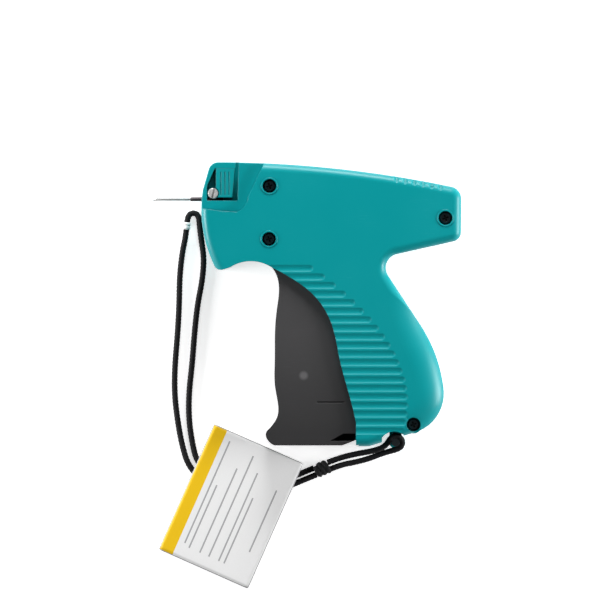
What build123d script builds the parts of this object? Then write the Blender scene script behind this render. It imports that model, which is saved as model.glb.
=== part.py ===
from build123d import *
import math
import os

# Garment tag attacher lying on its right side.
# X runs from the needle towards the rear, Y runs from the foot of the grip towards the top edge,
# Z is the thickness of the case.  The origin is on the resting face, below the trigger pivot.
# All sizes are in millimetres, angles in degrees.

# ---------------------------------------------------------------- case
CASE_THICK = 26.0
WALL = 2.0
EDGE_ROUND = 4.0
SEAM = CASE_THICK / 2
GAP = 0.3                      # between pieces that move past each other
SEAT = 0.1                     # around a piece that is trapped between the case halves
RUN_FIT = 0.05                 # radial clearance of a pin that turns

NOSE_TIP = (-25.4, -15.9)
NOSE_FRONT = (-31.7, 1.0)
HEAD_FRONT = (-32.5, 24.0)
HEAD_TOP = (-28.6, 37.7)
SPINE_MID = (33.0, 34.5)
REAR_TOP = (94.3, 24.6)
REAR_BOTTOM = (94.1, -0.4)
WEB_CORNER = (53.0, -9.6)
BACK_TOP = (74.5, -42.6)
HEEL = (85.4, -90.6)
BASE_BREAK = (49.0, -101.6)
TOE = (42.6, -101.6)
GRIP_FRONT = [(42.6, -90.0), (39.7, -77.9), (34.6, -59.0), (30.6, -41.5), (22.5, -28.2), (10.8, -19.1),
              (-0.5, -12.9)]
ARCH_TOP = (-9.5, -10.9)
ARCH_FRONT = (-19.0, -13.9)
CORNER_ROUNDS = [(HEAD_FRONT, 12.0), (HEAD_TOP, 5.0), (REAR_TOP, 6.0), (REAR_BOTTOM, 4.8),
                 (WEB_CORNER, 6.8), (HEEL, 20.0), (BASE_BREAK, 6.0)]
NOSE_TIP_ROUND = 3.6
NOSE_SLOPE_X = -17.8           # where the side faces start to slope towards the nose
NOSE_SLOPE = 8.0

# The back of the grip is rounded more than the other edges, by a quarter ellipse
BACK_ROUND = 14.0
BACK_DROP = 9.0
BACK_OUT = 0.7                 # how far outside the outline the ellipse starts
BACK_BEYOND = 6.0              # how far outside the outline the cut reaches
BACK_PATH = [(74.0, -15.0), (72.0, -25.0), (73.3, -36.0), (76.9, -45.8), (81.9, -57.2), (84.8, -68.0),
             (85.8, -76.0), (84.6, -82.9), (80.0, -90.2), (72.0, -96.4)]

# ---------------------------------------------------------------- grip surface
RIB_PITCH = 4.2
RIB_COUNT = 20
RIB_FIRST_Y = -14.4
RIB_DEPTH = 0.5
RIB_RADIUS = 3.2
RIB_END_X = 66.6
RIB_END_Y = -81.0
RIB_END_BEND = 0.0105
THUMB_COUNT = 6
THUMB_FIRST_X = 62.6
THUMB_PITCH = 4.3
THUMB_RADIUS = 1.9
THUMB_LENGTH = 9.0
THUMB_DEPTH = 0.6

# ---------------------------------------------------------------- case screws
SCREW_PLACES = {"front": (0.25, 26.0), "pivot": (0.0, 0.0), "rear": (86.5, 10.3), "heel": (70.8, -90.9)}
SCREW_SEAT_Z = {"front": 20.5, "pivot": 20.5, "rear": 22.0, "heel": 18.5}
SCREW_HEAD_R = 2.8
SCREW_HEAD_H = 2.0
SCREW_SHANK_R = 1.4
SCREW_TIP_Z = 4.5
COUNTERBORE_R = 3.4
BOSS_R = 3.3
BOSS_HEAD_R = 4.4
BOSS_FLOOR = 1.2
HOLE_RIM = 0.75
HOLE_RIM_H = 0.3

# ---------------------------------------------------------------- head, needle and feed
HEAD_STEP = 2.5
HEAD_STEP_LINE = [(-33.5, 15.0), (-22.0, 13.5), (-16.2, 13.1)]
HEAD_STEP_CURVE = [(-16.2, 13.1), (-12.2, 15.6), (-10.2, 20.6)]
HEAD_STEP_TOP = (-2.6, 36.6)
NEEDLE_Y = 19.5
NEEDLE_TIP_X = -57.3
NEEDLE_FREE = 18.9             # length of its thin part, which goes through the cloth
NEEDLE_R = 0.9
NEEDLE_SHANK_R = 1.1
NEEDLE_BORE_R = 0.62
NEEDLE_SLOT = 0.7
NEEDLE_BEVEL = 4.0
HUB_FRONT_X = -30.2
HUB_REAR_X = -22.4
HUB_HALF_Y = 2.7
HUB_HALF_Z = 3.2
CHANNEL_REAR_X = -11.2
CHANNEL_LOW_Z = 10.2
CHANNEL_HIGH_Z = 14.2
POCKET_FLOOR_Z = 19.0
POCKET_LEFT_X = -30.4
POCKET_TOP_Y = 34.6
SLIT_W = 1.4
SLIT_END_X = -15.5
CLIP_SLOT = [(-17.9, 18.8), (-15.4, 18.8), (-14.7, 40.0), (-16.1, 40.0)]
HOUSING_LEFT_X = -26.0
HOUSING_STAND = 0.1
LOCK_AT = (-27.4, 22.4)
LOCK_HEAD_R = 2.6
LOCK_HEAD_LOW_Z = 21.6
LOCK_HEAD_H = 1.8
LOCK_SHANK_R = 1.2
LOCK_SLOT_W = 0.9
LOCK_SLOT_TILT = -12.0
HEAD_BLOCK_BOTTOM_Y = 14.0
HEAD_BLOCK_REAR_X = -8.0
WHEEL_AT = (-6.6, 15.6)
WHEEL_R = 6.0
WHEEL_ROOT_R = 4.7
WHEEL_TEETH = 12
WHEEL_LOW_Z = 8.2
WHEEL_HIGH_Z = 11.5
AXLE_R = 1.2
AXLE_HEAD_R = 2.0
AXLE_HEAD_H = 0.6
AXLE_POST_R = 2.6
PAWL_WALL = 1.2
PAWL_FINGER_W = 1.8
KNIFE_THICK = 0.5
KNIFE_HALF_Y = 2.0
KNIFE_SEAT = 3.0               # depth in the needle's hub
KNIFE_EDGE = 0.7               # length of the ground edge
KNIFE_LIFT = 0.7               # of the blade above the channel's floor
KNIFE_STAND_OUT = 0.9          # of its edge behind the needle's hub

# ---------------------------------------------------------------- trigger
TRIGGER_HALF_W = 9.8
TRIGGER_WALL = 2.0
TRIGGER_FRONT_WALL = 2.4
TRIGGER_FLOOR = 2.2
TRIGGER_TURN = 20.0
TRIGGER_REACH = 107.3          # largest radius about the pivot
TRIGGER_HIDDEN = 3.8           # depth of the side walls inside the grip
TRIGGER_HUB_R = 7.0
TRIGGER_TUBE_WALL = 1.8        # of the tube round its pivot
# Points of its front and foot, each with its distance below the pivot as a share of the reach
TRIGGER_FRONT = [(x, -share * TRIGGER_REACH) for x, share in [
    (0.9, 0.125), (4.0, 0.173), (4.9, 0.233), (3.9, 0.317), (2.9, 0.429), (2.8, 0.559), (2.9, 0.671),
    (4.1, 0.736), (4.2, 0.806), (2.2, 0.8425), (-0.4, 0.8705)]]
TRIGGER_FOOT = [(x, -share * TRIGGER_REACH) for x, share in [(-1.6, 0.891), (-0.6, 0.919), (2.9, 0.943)]]
TRIGGER_BASE_Y = TRIGGER_FOOT[-1][1]
TRIGGER_CORNER_X = (30.0, 36.5)  # sloping edge of the cut in the left side of the base
TRIGGER_CORNER_H = 3.6
TRIGGER_GROOVE_X = (23.5, 37.0)
TRIGGER_GROOVE_Y = TRIGGER_BASE_Y + 21.2
TRIGGER_GROOVE_W = 0.8
TRIGGER_GROOVE_DEPTH = 0.5
EAR_ROOM = [(-12.0, 9.0), (-12.0, -11.5), (12.0, -11.5), (20.0, 9.0)]

# ---------------------------------------------------------------- drive lever
SLIDE_STROKE = 44.0            # that the lever's top gives the ejector
LEVER_THICK = 5.0
LEVER_ARM_W = 5.0
LEVER_REACH = 58.4
LEVER_SWING = 2 * math.degrees(math.asin(SLIDE_STROKE / 2 / LEVER_REACH))
CROSS_PIN_DROP = 1.7           # below the needle's axis at both ends of the stroke
LEVER_AT = (57.3, NEEDLE_Y - CROSS_PIN_DROP - math.sqrt(LEVER_REACH ** 2 - (SLIDE_STROKE / 2) ** 2))
LEVER_ELBOW = [(-5.7, 16.3), (-4.9, 28.3)]  # from the pivot
LEVER_NECK = (-15.8, -13.3)    # from the cross pin
LEVER_HUB_R = 5.0
LEVER_SLEEVE_R = 3.8
LEVER_SLEEVE_Z = (8.1, 17.9)
LEVER_LOWER = 29.4
LEVER_LOWER_LEAN = 40.0
LEVER_LOWER_W = 4.2
LEVER_KNOB_R = 4.0
LEVER_KNOB_HALF_Z = 4.0
LEVER_PIN_R = 1.5
LEVER_BOSS_R = 3.2
CROSS_PIN_R = 2.0
CROSS_PIN_HALF_Z = 4.5
CAM_GAP = 0.42
CAM_WALL = 1.8

# ---------------------------------------------------------------- ejector
SLIDE_LOW_Y = 14.2
SLIDE_HIGH_Y = 23.9
SLIDE_HALF_Z = 7.5
SLIDE_CHEEK = 4.2
SLIDE_FRONT = 18.0             # front face, ahead of the cross pin
SLIDE_BRIDGE = 9.0             # rear face of the bridge, ahead of the cross pin
SLIDE_REAR = 4.2
SLOT_SIDE_GAP = 0.52
ROD_R = 0.6
ROD_REST_X = -10.6
ROD_SEAT = 8.0
ROD_SCREW_R = 1.25
ROD_SCREW_SINK = 0.4
RAIL_DEPTH = 6.2
RAIL_THICK = 1.6
RAIL_REAR_X = 81.8
RAIL_SPARE = 4.3               # rail ahead of the slide at the end of its stroke

# ---------------------------------------------------------------- return spring
SPRING_R = 4.7
SPRING_WIRE_R = 0.5
SPRING_TURNS = 3.75
SPRING_PITCH = 1.05
SPRING_LOW_Z = 16.1
SPRING_START = -50.0           # where the first leg leaves the coil
SPRING_LEG = 12.5
SPRING_CASE_LEG = 19.0
SPRING_POST_R = 1.5

# ---------------------------------------------------------------- wrist strap and card
CORD_R = 1.5
FLOOR_Z = CORD_R + 0.1
PIN_AT = (62.0, -99.8)
PIN_R = 1.2
PIN_HEAD_R = 1.9
PIN_TOP_Z = 13.6
LUG_R = 3.0
LUG_Z = (1.0, 5.0)
NOTCH_LEFT_X = PIN_AT[0] - 6.6
NOTCH_RIGHT_X = PIN_AT[0] + 5.4
NOTCH_TOP_Y = PIN_AT[1] + 5.4
KNOT_AT = (26.0, -112.5, 2.9)
KNOT_SIZE = (7.0, 7.4, 5.4)
KNOT_HEADING = -158.0
STRAND_OFFSET = 1.75
JOINER_R = 1.9
JOINER_FROM = (-40.5, 4.6, JOINER_R + 0.1)
JOINER_HEADING = 84.0
JOINER_LENGTH = 3.6
CARD_SIZE = (48.0, 67.5, 0.4)
CARD_MIDDLE = (-18.6, -131.0)
CARD_HEADING = -23.9
CARD_TILT = 4.9
CARD_LOW_Z = 0.15


# ================================================================ helpers
def plate(face, low, high):
    """The face, drawn at Z 0, as a solid from low to high."""
    return extrude(Pos(0, 0, low) * face, amount=high - low, dir=(0, 0, 1))


def polygon(points):
    return make_face(Polyline(*points, close=True))


def disc(at, radius, low, high):
    return plate(Pos(at[0], at[1]) * Circle(radius), low, high)


def block(x_low, x_high, y_low, y_high, low, high):
    size = (x_high - x_low, y_high - y_low, high - low)
    middle = ((x_high + x_low) / 2, (y_high + y_low) / 2, (high + low) / 2)
    return Pos(*middle) * Box(*size)


def bar(points, width, low, high):
    """A flat bar of one width along a smooth line through the points, with round ends."""
    line = Spline(*points) if len(points) > 2 else Line(*points)
    steps = 12 * (len(points) - 1)
    left = []
    right = []
    for step in range(steps + 1):
        at = line @ (step / steps)
        along = line % (step / steps)
        side = Vector(-along.Y, along.X) * (width / 2)
        left.append(at + side)
        right.append(at - side)
    outline = [Spline(*left), Line(left[-1], right[-1]), Spline(*reversed(right)), Line(right[0], left[0])]
    body = plate(make_face(outline), low, high)
    for end in (points[0], points[-1]):
        body += disc(end, width / 2, low, high)
    return body


def along_needle(front_x, rear_x, radius):
    """Round bar on the needle's axis."""
    return Pos((front_x + rear_x) / 2, NEEDLE_Y, SEAM) * Rot(0, 90, 0) * Cylinder(radius, rear_x - front_x)


def turned(shape, at, angle):
    """The shape turned about an upright line through at."""
    return Pos(at[0], at[1]) * Rot(0, 0, angle) * Pos(-at[0], -at[1]) * shape


def mirrored(shape):
    """The shape on the other side of the seam between the case halves."""
    return mirror(shape, Plane.XY.offset(SEAM))


def polar(at, radius, angle):
    return (at[0] + radius * math.cos(math.radians(angle)), at[1] + radius * math.sin(math.radians(angle)))


def rounded_tube(points, tube_r):
    """Round tube along straight runs joined by tangent arcs, with its length and the arcs' radii."""
    corners = [Vector(*point) for point in points]
    radii = []
    for before, at, after in zip(corners, corners[1:], corners[2:]):
        turn = math.radians((at - before).get_angle(after - at))
        shorter = min((at - before).length, (after - at).length)
        radii.append(0.45 * shorter / math.tan(turn / 2))
    path = FilletPolyline(*corners, radius=radii)
    section = Plane(origin=path @ 0, z_dir=path % 0) * Circle(tube_r)
    return sweep(section, path=path), path.length, radii


# ================================================================ case
def case_face():
    """Side view of the closed case."""
    back_heading = (Vector(*BACK_TOP) - Vector(*WEB_CORNER)).normalized()
    edges = [ThreePointArc(NOSE_TIP, NOSE_FRONT, HEAD_FRONT),
             Line(HEAD_FRONT, HEAD_TOP),
             ThreePointArc(HEAD_TOP, SPINE_MID, REAR_TOP),
             Line(REAR_TOP, REAR_BOTTOM),
             Line(REAR_BOTTOM, WEB_CORNER),
             Line(WEB_CORNER, BACK_TOP),
             TangentArc(BACK_TOP, HEEL, tangent=back_heading),
             Line(HEEL, BASE_BREAK),
             Line(BASE_BREAK, TOE),
             Line(TOE, GRIP_FRONT[0]),
             Spline(*GRIP_FRONT),
             ThreePointArc(GRIP_FRONT[-1], ARCH_TOP, ARCH_FRONT),
             Line(ARCH_FRONT, NOSE_TIP)]
    face = make_face(edges).face()
    for corner, radius in CORNER_ROUNDS:
        near = min(face.vertices(), key=lambda vertex: (Vector(vertex) - Vector(*corner)).length)
        face = face.fillet_2d(radius, [near])
    return face


CASE_FACE = case_face()


def nose_corner():
    """The corner of the side view that the round tip of the nose leaves out."""
    near = min(CASE_FACE.vertices(), key=lambda vertex: (Vector(vertex) - Vector(*NOSE_TIP)).length)
    return CASE_FACE - CASE_FACE.fillet_2d(NOSE_TIP_ROUND, [near])


def nose_slope():
    """What lies outside the sloping side face of the nose."""
    far_x = -45.0
    far_z = CASE_THICK - (NOSE_SLOPE_X - far_x) * math.tan(math.radians(NOSE_SLOPE))
    high_z = CASE_THICK + 5
    section = polygon([(NOSE_SLOPE_X, CASE_THICK), (far_x, far_z), (far_x, high_z), (NOSE_SLOPE_X, high_z)])
    return extrude(Pos(0, -30, 0) * Plane.XZ * section, amount=75, dir=(0, 1, 0))


def back_cutter():
    """What lies outside the rounded back of the grip."""
    path = Spline(*BACK_PATH)
    along = path % 0
    inward = Vector(along.Y, -along.X)
    start = Plane(origin=(path @ 0) + Vector(0, 0, CASE_THICK), x_dir=inward, z_dir=along)
    sign = 1 if start.y_dir.Z > 0 else -1
    above = sign * 2.0
    centre_z = -sign * BACK_DROP
    outer = [(BACK_ROUND - BACK_OUT, 0.0),
             (BACK_ROUND - BACK_OUT, above),
             (-BACK_BEYOND, above),
             (-BACK_BEYOND, centre_z),
             (-BACK_OUT, centre_z)]
    steps = 8
    arc = []
    for step in range(steps + 1):
        turn = math.radians(90.0 * step / steps)
        inside = BACK_ROUND * (1 - math.cos(turn)) - BACK_OUT
        arc.append((inside, centre_z + sign * BACK_DROP * math.sin(turn)))
    section = make_face([Polyline(*outer), Spline(*arc)])
    return sweep(start * section, path=path)


def back_strip(inset):
    """Band along the back of the grip, from inset inside its outline to well outside."""
    path = Spline(*BACK_PATH)
    inner = []
    outer = []
    steps = 24
    for step in range(steps + 1):
        at = path @ (step / steps)
        along = path % (step / steps)
        inward = Vector(along.Y, -along.X)
        inner.append(at + inward * inset)
        outer.append(at - inward * BACK_BEYOND)
    return polygon(inner + list(reversed(outer)))


def back_steps():
    """What the room inside gives up behind the rounded back, in steps that leave a full wall."""
    wide = BACK_ROUND - WALL
    deep = BACK_DROP - WALL
    low = CASE_THICK - BACK_DROP
    body = None
    for height in (2.3, 4.3, 6.1, deep):
        inset = BACK_ROUND - wide * math.sqrt(1 - (height / deep) ** 2)
        step = plate(back_strip(inset), low, CASE_THICK - BACK_DROP + height)
        low = CASE_THICK - BACK_DROP + height
        body = step if body is None else body + step
    return body


def edge_chain(solid, height):
    """Outer edges of the side face that are rounded: all but those beside the trigger."""
    chosen = []
    for edge in solid.edges():
        middle = edge @ 0.5
        level = abs(middle.Z - height) < 0.01 and abs((edge @ 0).Z - height) < 0.01
        beside_trigger = middle.Y < -10.0 and middle.X < TOE[0] + 0.1
        if level and not beside_trigger:
            chosen.append(edge)
    return chosen


def rib_cutters():
    """Long shallow grooves across the side of the grip."""
    cutters = []
    centre_z = CASE_THICK + RIB_RADIUS - RIB_DEPTH
    for index in range(RIB_COUNT):
        y = RIB_FIRST_Y - index * RIB_PITCH
        end_x = RIB_END_X - RIB_END_BEND * (y - RIB_END_Y) ** 2
        start_x = min(0.0, end_x - 1.0)
        middle = Pos((start_x + end_x) / 2, y, centre_z)
        groove = middle * Rot(0, 90, 0) * Cylinder(RIB_RADIUS, end_x - start_x)
        cutters.append(groove + Pos(end_x, y, centre_z) * Sphere(RIB_RADIUS))
    return cutters


def spine_y(x):
    """Height of the top edge of the case at x."""
    centre_x, centre_y, radius = circle_through(HEAD_TOP, SPINE_MID, REAR_TOP)
    return centre_y + math.sqrt(radius ** 2 - (x - centre_x) ** 2)


def circle_through(first, second, third):
    """Centre and radius of the circle through three points."""
    (ax, ay), (bx, by), (cx, cy) = first, second, third
    twice_area = 2 * (ax * (by - cy) + bx * (cy - ay) + cx * (ay - by))
    a, b, c = ax ** 2 + ay ** 2, bx ** 2 + by ** 2, cx ** 2 + cy ** 2
    x = (a * (by - cy) + b * (cy - ay) + c * (ay - by)) / twice_area
    y = (a * (cx - bx) + b * (ax - cx) + c * (bx - ax)) / twice_area
    return x, y, math.hypot(ax - x, ay - y)


def thumb_cutters():
    """Short grooves over the rear shoulder of the case."""
    cutters = []
    inset = EDGE_ROUND * (1 - math.sqrt(0.5))
    for index in range(THUMB_COUNT):
        x = THUMB_FIRST_X + index * THUMB_PITCH
        lift = THUMB_RADIUS - THUMB_DEPTH
        y = spine_y(x) - inset + lift * math.sqrt(0.5)
        z = CASE_THICK - inset + lift * math.sqrt(0.5)
        groove = Rot(45, 0, 0) * Cylinder(THUMB_RADIUS, THUMB_LENGTH)
        cutters.append(Pos(x, y, z) * groove)
    return cutters


def head_step_face():
    """The part of the side view where the head is thinner than the rest of the case."""
    far = (-45.0, 45.0)
    edges = [Polyline(*HEAD_STEP_LINE),
             ThreePointArc(*HEAD_STEP_CURVE),
             Polyline(HEAD_STEP_CURVE[-1], HEAD_STEP_TOP, (HEAD_STEP_TOP[0], far[1]), far,
                      (far[0], HEAD_STEP_LINE[0][1]), HEAD_STEP_LINE[0])]
    return make_face(edges)


def notch_face():
    """The arch in the foot of the grip, where the strap goes round its pin."""
    low = PIN_AT[1] - 10.0
    spring_y = NOTCH_TOP_Y - 3.0
    left, right = (NOTCH_LEFT_X, spring_y), (NOTCH_RIGHT_X, spring_y)
    top = ((NOTCH_LEFT_X + NOTCH_RIGHT_X) / 2, NOTCH_TOP_Y)
    return make_face([Polyline(left, (NOTCH_LEFT_X, low), (NOTCH_RIGHT_X, low), right),
                      ThreePointArc(right, top, left)])


def outer_half():
    """Solid outside of the left half, from the seam out."""
    body = plate(CASE_FACE, SEAM, CASE_THICK)
    body = fillet(edge_chain(body, CASE_THICK), EDGE_ROUND)
    body -= plate(nose_corner(), 0, CASE_THICK + 5)
    body -= nose_slope()
    body -= back_cutter()
    body -= plate(head_step_face(), CASE_THICK - HEAD_STEP, CASE_THICK + 5)
    body -= plate(notch_face(), 0, CASE_THICK + 5)
    for groove in rib_cutters() + thumb_cutters():
        body -= groove
    return body


def cavity_half():
    """Room inside the left half, open to the trigger."""
    inner = offset(CASE_FACE, -WALL)
    room = plate(inner, SEAM, CASE_THICK - WALL)
    front = [(x - 6.0, y + 1.0) for x, y in GRIP_FRONT]
    rear = [(x + WALL + 1.5, y + 1.0) for x, y in GRIP_FRONT]
    front[0] = (front[0][0], TOE[1] - 5)
    front[-1] = (GRIP_FRONT[-1][0] - 0.6, GRIP_FRONT[-1][1] - 4.0)
    rear[0] = (rear[0][0], TOE[1] + WALL)
    rear[-1] = (GRIP_FRONT[-1][0] - 0.6, GRIP_FRONT[-1][1] + WALL + 1.0)
    mouth = plate(polygon(front + list(reversed(rear))), SEAM, CASE_THICK - WALL)
    room += mouth
    room -= Pos(0, 0, -WALL) * nose_slope()
    room -= back_steps()
    room -= plate(offset(notch_face(), WALL), SEAM, CASE_THICK)
    room -= plate(offset(head_step_face(), WALL), CASE_THICK - HEAD_STEP - WALL, CASE_THICK)
    return room


OUTER_HALF = outer_half()
CAVITY_HALF = cavity_half()


def rails(low_z, high_z):
    """Two ledges that guide the ejector slide on one side."""
    front_x = cross_pin_rest()[0] - SLIDE_FRONT - SLIDE_STROKE - RAIL_SPARE
    lower = block(front_x, RAIL_REAR_X, SLIDE_LOW_Y - GAP - RAIL_THICK, SLIDE_LOW_Y - GAP, low_z, high_z)
    upper = block(front_x, RAIL_REAR_X, SLIDE_HIGH_Y + GAP, SLIDE_HIGH_Y + GAP + RAIL_THICK, low_z, high_z)
    return lower + upper


def head_block_face():
    """Side view of the solid part of the head, around the feed channel and the needle."""
    area = polygon([(-40, HEAD_BLOCK_BOTTOM_Y), (HEAD_BLOCK_REAR_X, HEAD_BLOCK_BOTTOM_Y),
                    (HEAD_BLOCK_REAR_X, 45), (-40, 45)])
    return area & offset(CASE_FACE, -WALL / 2)


def needle_way(low_z, high_z):
    """Room for the needle, its hub and the fastener channel between the case halves."""
    half_y = HUB_HALF_Y + SEAT
    half_z = HUB_HALF_Z + SEAT
    hub = block(HUB_FRONT_X - SEAT, HUB_REAR_X + SEAT, NEEDLE_Y - half_y, NEEDLE_Y + half_y,
                SEAM - half_z, SEAM + half_z)
    exit_hole = along_needle(NOSE_FRONT[0] - 5, HUB_FRONT_X + 6, NEEDLE_SHANK_R + GAP)
    channel = block(HUB_REAR_X + SEAT, CHANNEL_REAR_X, NOSE_TIP[1] - 5, 50, CHANNEL_LOW_Z, CHANNEL_HIGH_Z)
    rod_way = along_needle(CHANNEL_REAR_X - 8, CHANNEL_REAR_X + 8, ROD_R + GAP)
    return (hub + exit_hole + channel + rod_way) & block(-60, 20, -40, 60, low_z, high_z)


def left_shell():
    shell = OUTER_HALF - CAVITY_HALF
    shell += plate(head_block_face(), SEAM, POCKET_FLOOR_Z + 3)
    for name, at in SCREW_PLACES.items():
        radius = BOSS_HEAD_R if name == "pivot" else BOSS_R
        top = min(CASE_THICK - WALL / 2, SCREW_SEAT_Z[name] + 3.5)
        shell += disc(at, radius, SEAM, top)
        shell += disc(at, BOSS_HEAD_R, SCREW_SEAT_Z[name] - BOSS_FLOOR, top)
        if name != "heel":
            shell += disc(at, COUNTERBORE_R + HOLE_RIM, CASE_THICK - WALL, CASE_THICK + HOLE_RIM_H)
        shell -= disc(at, COUNTERBORE_R, SCREW_SEAT_Z[name], CASE_THICK + 5)
        shell -= disc(at, SCREW_SHANK_R + SEAT, SEAM, CASE_THICK)
    shell += rails(CASE_THICK - WALL - RAIL_DEPTH, CASE_THICK - WALL / 2)
    shell += disc(LEVER_AT, LEVER_BOSS_R, LEVER_SLEEVE_Z[1] + GAP, CASE_THICK - WALL / 2)
    shell -= disc(LEVER_AT, LEVER_PIN_R, SEAM, CASE_THICK - 3.0)
    shell += disc(spring_posts()[1], SPRING_POST_R, SPRING_LOW_Z + 3.0, CASE_THICK - WALL / 2)
    shell -= needle_way(SEAM, CASE_THICK)
    shell -= pocket()
    shell += disc(LOCK_AT, LOCK_SHANK_R + 1.0, POCKET_FLOOR_Z, LOCK_HEAD_LOW_Z - GAP)
    shell -= disc(LOCK_AT, LOCK_SHANK_R + RUN_FIT, SEAM, CASE_THICK)
    return shell


def pocket():
    """Pocket in the left side of the head, with the clip slot and the filament slit."""
    area = polygon([(POCKET_LEFT_X, NEEDLE_Y - SLIT_W / 2), (POCKET_LEFT_X, 26.0), (-26.6, POCKET_TOP_Y),
                    (-16.6, POCKET_TOP_Y), (-17.2, NEEDLE_Y - SLIT_W / 2)])
    room = plate(area, POCKET_FLOOR_Z, CASE_THICK + 5)
    room += plate(polygon(CLIP_SLOT), CHANNEL_HIGH_Z - 0.2, CASE_THICK + 5)
    room += block(POCKET_LEFT_X, SLIT_END_X, NEEDLE_Y - SLIT_W / 2, NEEDLE_Y + SLIT_W / 2,
                  SEAM + HUB_HALF_Z, CASE_THICK + 5)
    return room


def right_shell():
    shell = mirrored(OUTER_HALF) - mirrored(CAVITY_HALF)
    shell += plate(head_block_face(), WALL + HEAD_STEP / 2, SEAM)
    for name, at in SCREW_PLACES.items():
        radius = BOSS_HEAD_R if name == "pivot" else BOSS_R
        shell += disc(at, radius, WALL / 2 + (2.0 if name == "heel" else 0.0), SEAM)
        shell -= disc(at, SCREW_SHANK_R, SCREW_TIP_Z - 0.5, SEAM)
    shell += rails(WALL / 2, WALL + RAIL_DEPTH)
    shell += disc(LEVER_AT, LEVER_BOSS_R, WALL / 2, LEVER_SLEEVE_Z[0] - GAP)
    shell -= disc(LEVER_AT, LEVER_PIN_R, 3.0, SEAM)
    shell -= needle_way(0, SEAM)
    wheel_room = disc(WHEEL_AT, WHEEL_R + 0.6, WHEEL_LOW_Z - GAP, SEAM)
    shell -= wheel_room
    shell += disc(WHEEL_AT, AXLE_POST_R, WALL / 2, WHEEL_LOW_Z - GAP)
    shell -= disc(WHEEL_AT, AXLE_R, WALL + 1.0, SEAM)
    shell += detent_post()
    shell -= plate(detent_line(0.6), WHEEL_LOW_Z - 1.0, SEAM)
    lug = disc(PIN_AT, LUG_R, *LUG_Z)
    lug += block(PIN_AT[0] - LUG_R, PIN_AT[0] + LUG_R, PIN_AT[1], NOTCH_TOP_Y + 1.0, *LUG_Z)
    shell += lug
    shell -= disc(PIN_AT, PIN_R, LUG_Z[0] + 0.5, SEAM)
    return shell


# ================================================================ trigger
def trigger_face():
    """Side view of the trigger with its hidden part."""
    rear = [(x + TRIGGER_HIDDEN, y) for x, y in GRIP_FRONT[1:-1]]
    low_y = -math.sqrt(TRIGGER_REACH ** 2 - (GRIP_FRONT[0][0] + TRIGGER_HIDDEN - 0.6) ** 2)
    base_x = math.sqrt(TRIGGER_REACH ** 2 - TRIGGER_BASE_Y ** 2)
    low_rear = (GRIP_FRONT[0][0] + TRIGGER_HIDDEN - 0.6, low_y)
    arc_x = (base_x + low_rear[0]) / 2
    arc_mid = (arc_x, -math.sqrt(TRIGGER_REACH ** 2 - arc_x ** 2))
    ear_front = polar((0, 0), TRIGGER_HUB_R, 190)
    ear_rear = polar((0, 0), TRIGGER_HUB_R, -10)
    edges = [Line(ear_front, TRIGGER_FRONT[0]),
             Spline(*TRIGGER_FRONT),
             Spline(TRIGGER_FRONT[-1], *TRIGGER_FOOT),
             Line(TRIGGER_FOOT[-1], (base_x, TRIGGER_BASE_Y)),
             ThreePointArc((base_x, TRIGGER_BASE_Y), arc_mid, low_rear),
             Line(low_rear, rear[0]),
             Spline(*rear),
             Line(rear[-1], ear_rear),
             ThreePointArc(ear_rear, (0, TRIGGER_HUB_R), ear_front)]
    return make_face(edges)


def knob_place(turn):
    """Centre of the lever's lower knob at a pull of the trigger, as seen from the trigger."""
    lever_turn = LEVER_SWING * turn / TRIGGER_TURN
    x, y = polar(LEVER_AT, LEVER_LOWER, 270 - LEVER_LOWER_LEAN + lever_turn)
    back = math.radians(-turn)
    return (x * math.cos(back) - y * math.sin(back), x * math.sin(back) + y * math.cos(back))


def cam_wall():
    """Wall inside the trigger that pushes the lever's lower knob."""
    centre_x, centre_y, radius = circle_through(*[knob_place(TRIGGER_TURN * part) for part in (0, 0.5, 1)])
    ahead = LEVER_KNOB_R + CAM_GAP
    faces = []
    for distance in (ahead, ahead + CAM_WALL):
        points = []
        for part in (-0.06, 0.5, 1.06):
            x, y = knob_place(TRIGGER_TURN * part)
            out_x, out_y = (x - centre_x) / radius, (y - centre_y) / radius
            sign = 1 if out_x < 0 else -1
            points.append((x + sign * out_x * distance, y + sign * out_y * distance))
        faces.append(points)
    near, far = faces
    edges = [ThreePointArc(*near), Line(near[-1], far[-1]), ThreePointArc(*reversed(far)),
             Line(far[0], near[0])]
    return plate(make_face(edges), SEAM - TRIGGER_HALF_W + TRIGGER_WALL, SEAM + TRIGGER_HALF_W - TRIGGER_WALL)


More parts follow.
